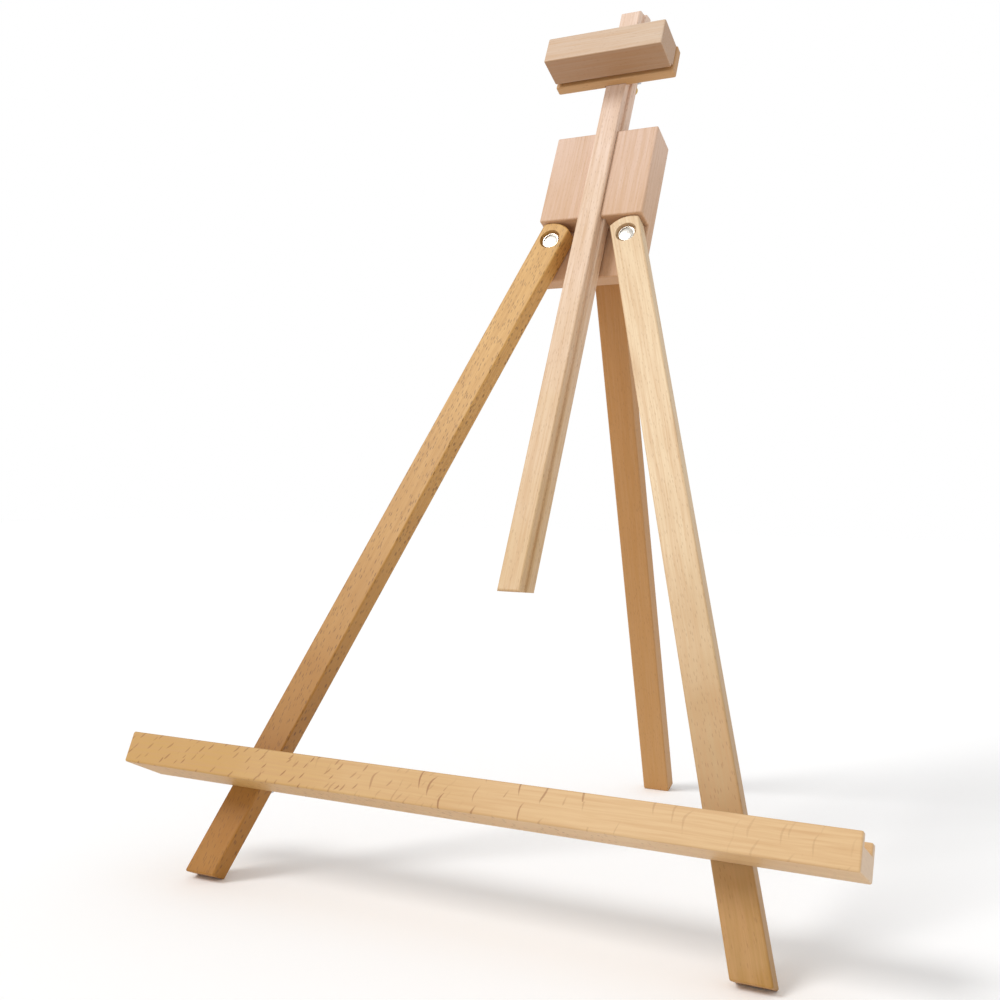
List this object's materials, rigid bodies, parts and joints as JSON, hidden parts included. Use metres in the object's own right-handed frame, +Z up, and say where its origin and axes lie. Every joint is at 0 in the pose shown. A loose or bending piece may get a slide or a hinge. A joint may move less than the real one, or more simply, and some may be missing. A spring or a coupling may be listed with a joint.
{
  "type": "tabletop easel",
  "caption": "Folding A-frame tabletop easel in beech with a sliding mast, a canvas clamp, a grooved ledge and a hinged back leg.",
  "frame": {"origin": "centre of the easel's footprint box, on the table", "axes": "+X to the easel's right as the painter sees it, +Y to the back, +Z up"},
  "size_m": [0.436, 0.3645, 0.587],
  "materials": {
    "beech": "sanded and lightly oiled",
    "nickel_plated_steel": "nickel plated",
    "zinc_plated_steel": "zinc plated",
    "brass": "turned"
  },
  "bodies": {
    "head": {"head_block": "beech", "left_pivot_post": "nickel_plated_steel", "right_pivot_post": "nickel_plated_steel", "left_pivot_screw": "nickel_plated_steel", "right_pivot_screw": "nickel_plated_steel", "left_pivot_washer": "nickel_plated_steel", "right_pivot_washer": "nickel_plated_steel", "hinge_head_leaf": "zinc_plated_steel", "hinge_pin": "zinc_plated_steel", "hinge_head_screws": "zinc_plated_steel", "mast_lock_insert": "brass"},
    "mast": {"mast": "beech"},
    "clamp": {"clamp_block": "beech", "clamp_plate": "beech", "clamp_stirrup": "zinc_plated_steel", "clamp_lock_nut": "brass", "clamp_screws": "zinc_plated_steel", "stirrup_screws": "zinc_plated_steel"},
    "clamp_lock": {"clamp_lock_screw": "brass"},
    "mast_lock": {"mast_lock_screw": "zinc_plated_steel"},
    "left_leg": {"left_leg": "beech", "left_ledge_washer": "zinc_plated_steel"},
    "right_leg": {"right_leg": "beech", "right_ledge_washer": "zinc_plated_steel"},
    "back_leg": {"back_leg": "beech", "hinge_leg_leaf": "zinc_plated_steel", "hinge_leg_screws": "zinc_plated_steel"},
    "ledge": {"ledge": "beech", "left_ledge_insert": "brass", "right_ledge_insert": "brass"},
    "left_wing": {"left_ledge_screw": "zinc_plated_steel"},
    "right_wing": {"right_ledge_screw": "zinc_plated_steel"}
  },
  "joints": [
    {"name": "mast_slide", "type": "slide", "parent": "head", "child": "mast", "axis": [0, 0.4226, 0.9063], "range_m": [-0.018, 0.24]},
    {"name": "clamp_slide", "type": "slide", "parent": "mast", "child": "clamp", "axis": [0, 0.4226, 0.9063], "range_m": [-0.02, 0.044]},
    {"name": "clamp_lock_turn", "type": "hinge", "parent": "clamp", "child": "clamp_lock", "pos_m": [0, 0.09258, 0.53212], "axis": [0, -0.9063, 0.4226], "continuous": true},
    {"name": "mast_lock_turn", "type": "hinge", "parent": "head", "child": "mast_lock", "pos_m": [0, 0.06551, 0.4504], "axis": [0, -0.9063, 0.4226], "continuous": true},
    {"name": "left_leg_swing", "type": "hinge", "parent": "head", "child": "left_leg", "pos_m": [-0.0277, 0.02245, 0.40538], "axis": [0, -0.9063, 0.4226], "range_deg": [0, 17.4]},
    {"name": "right_leg_swing", "type": "hinge", "parent": "head", "child": "right_leg", "pos_m": [0.0277, 0.02245, 0.40538], "axis": [0, -0.9063, 0.4226], "range_deg": [-17.4, 0]},
    {"name": "back_leg_fold", "type": "hinge", "parent": "head", "child": "back_leg", "pos_m": [0, 0.04345, 0.40784], "axis": [1, 0, 0], "range_deg": [-41.9, 0]},
    {"name": "ledge_lift_off", "type": "slide", "parent": "left_leg", "child": "ledge", "axis": [0, -0.9063, 0.4226], "range_m": [0, 0.04]},
    {"name": "left_wing_turn", "type": "hinge", "parent": "left_leg", "child": "left_wing", "pos_m": [-0.14857, -0.13149, 0.0516], "axis": [0, -0.9063, 0.4226], "continuous": true},
    {"name": "right_wing_turn", "type": "hinge", "parent": "right_leg", "child": "right_wing", "pos_m": [0.14857, -0.13149, 0.0516], "axis": [0, -0.9063, 0.4226], "continuous": true}
  ],
  "couplings": [
    {"joint": "right_leg_swing", "follows": "left_leg_swing", "ratio": -1}
  ]
}
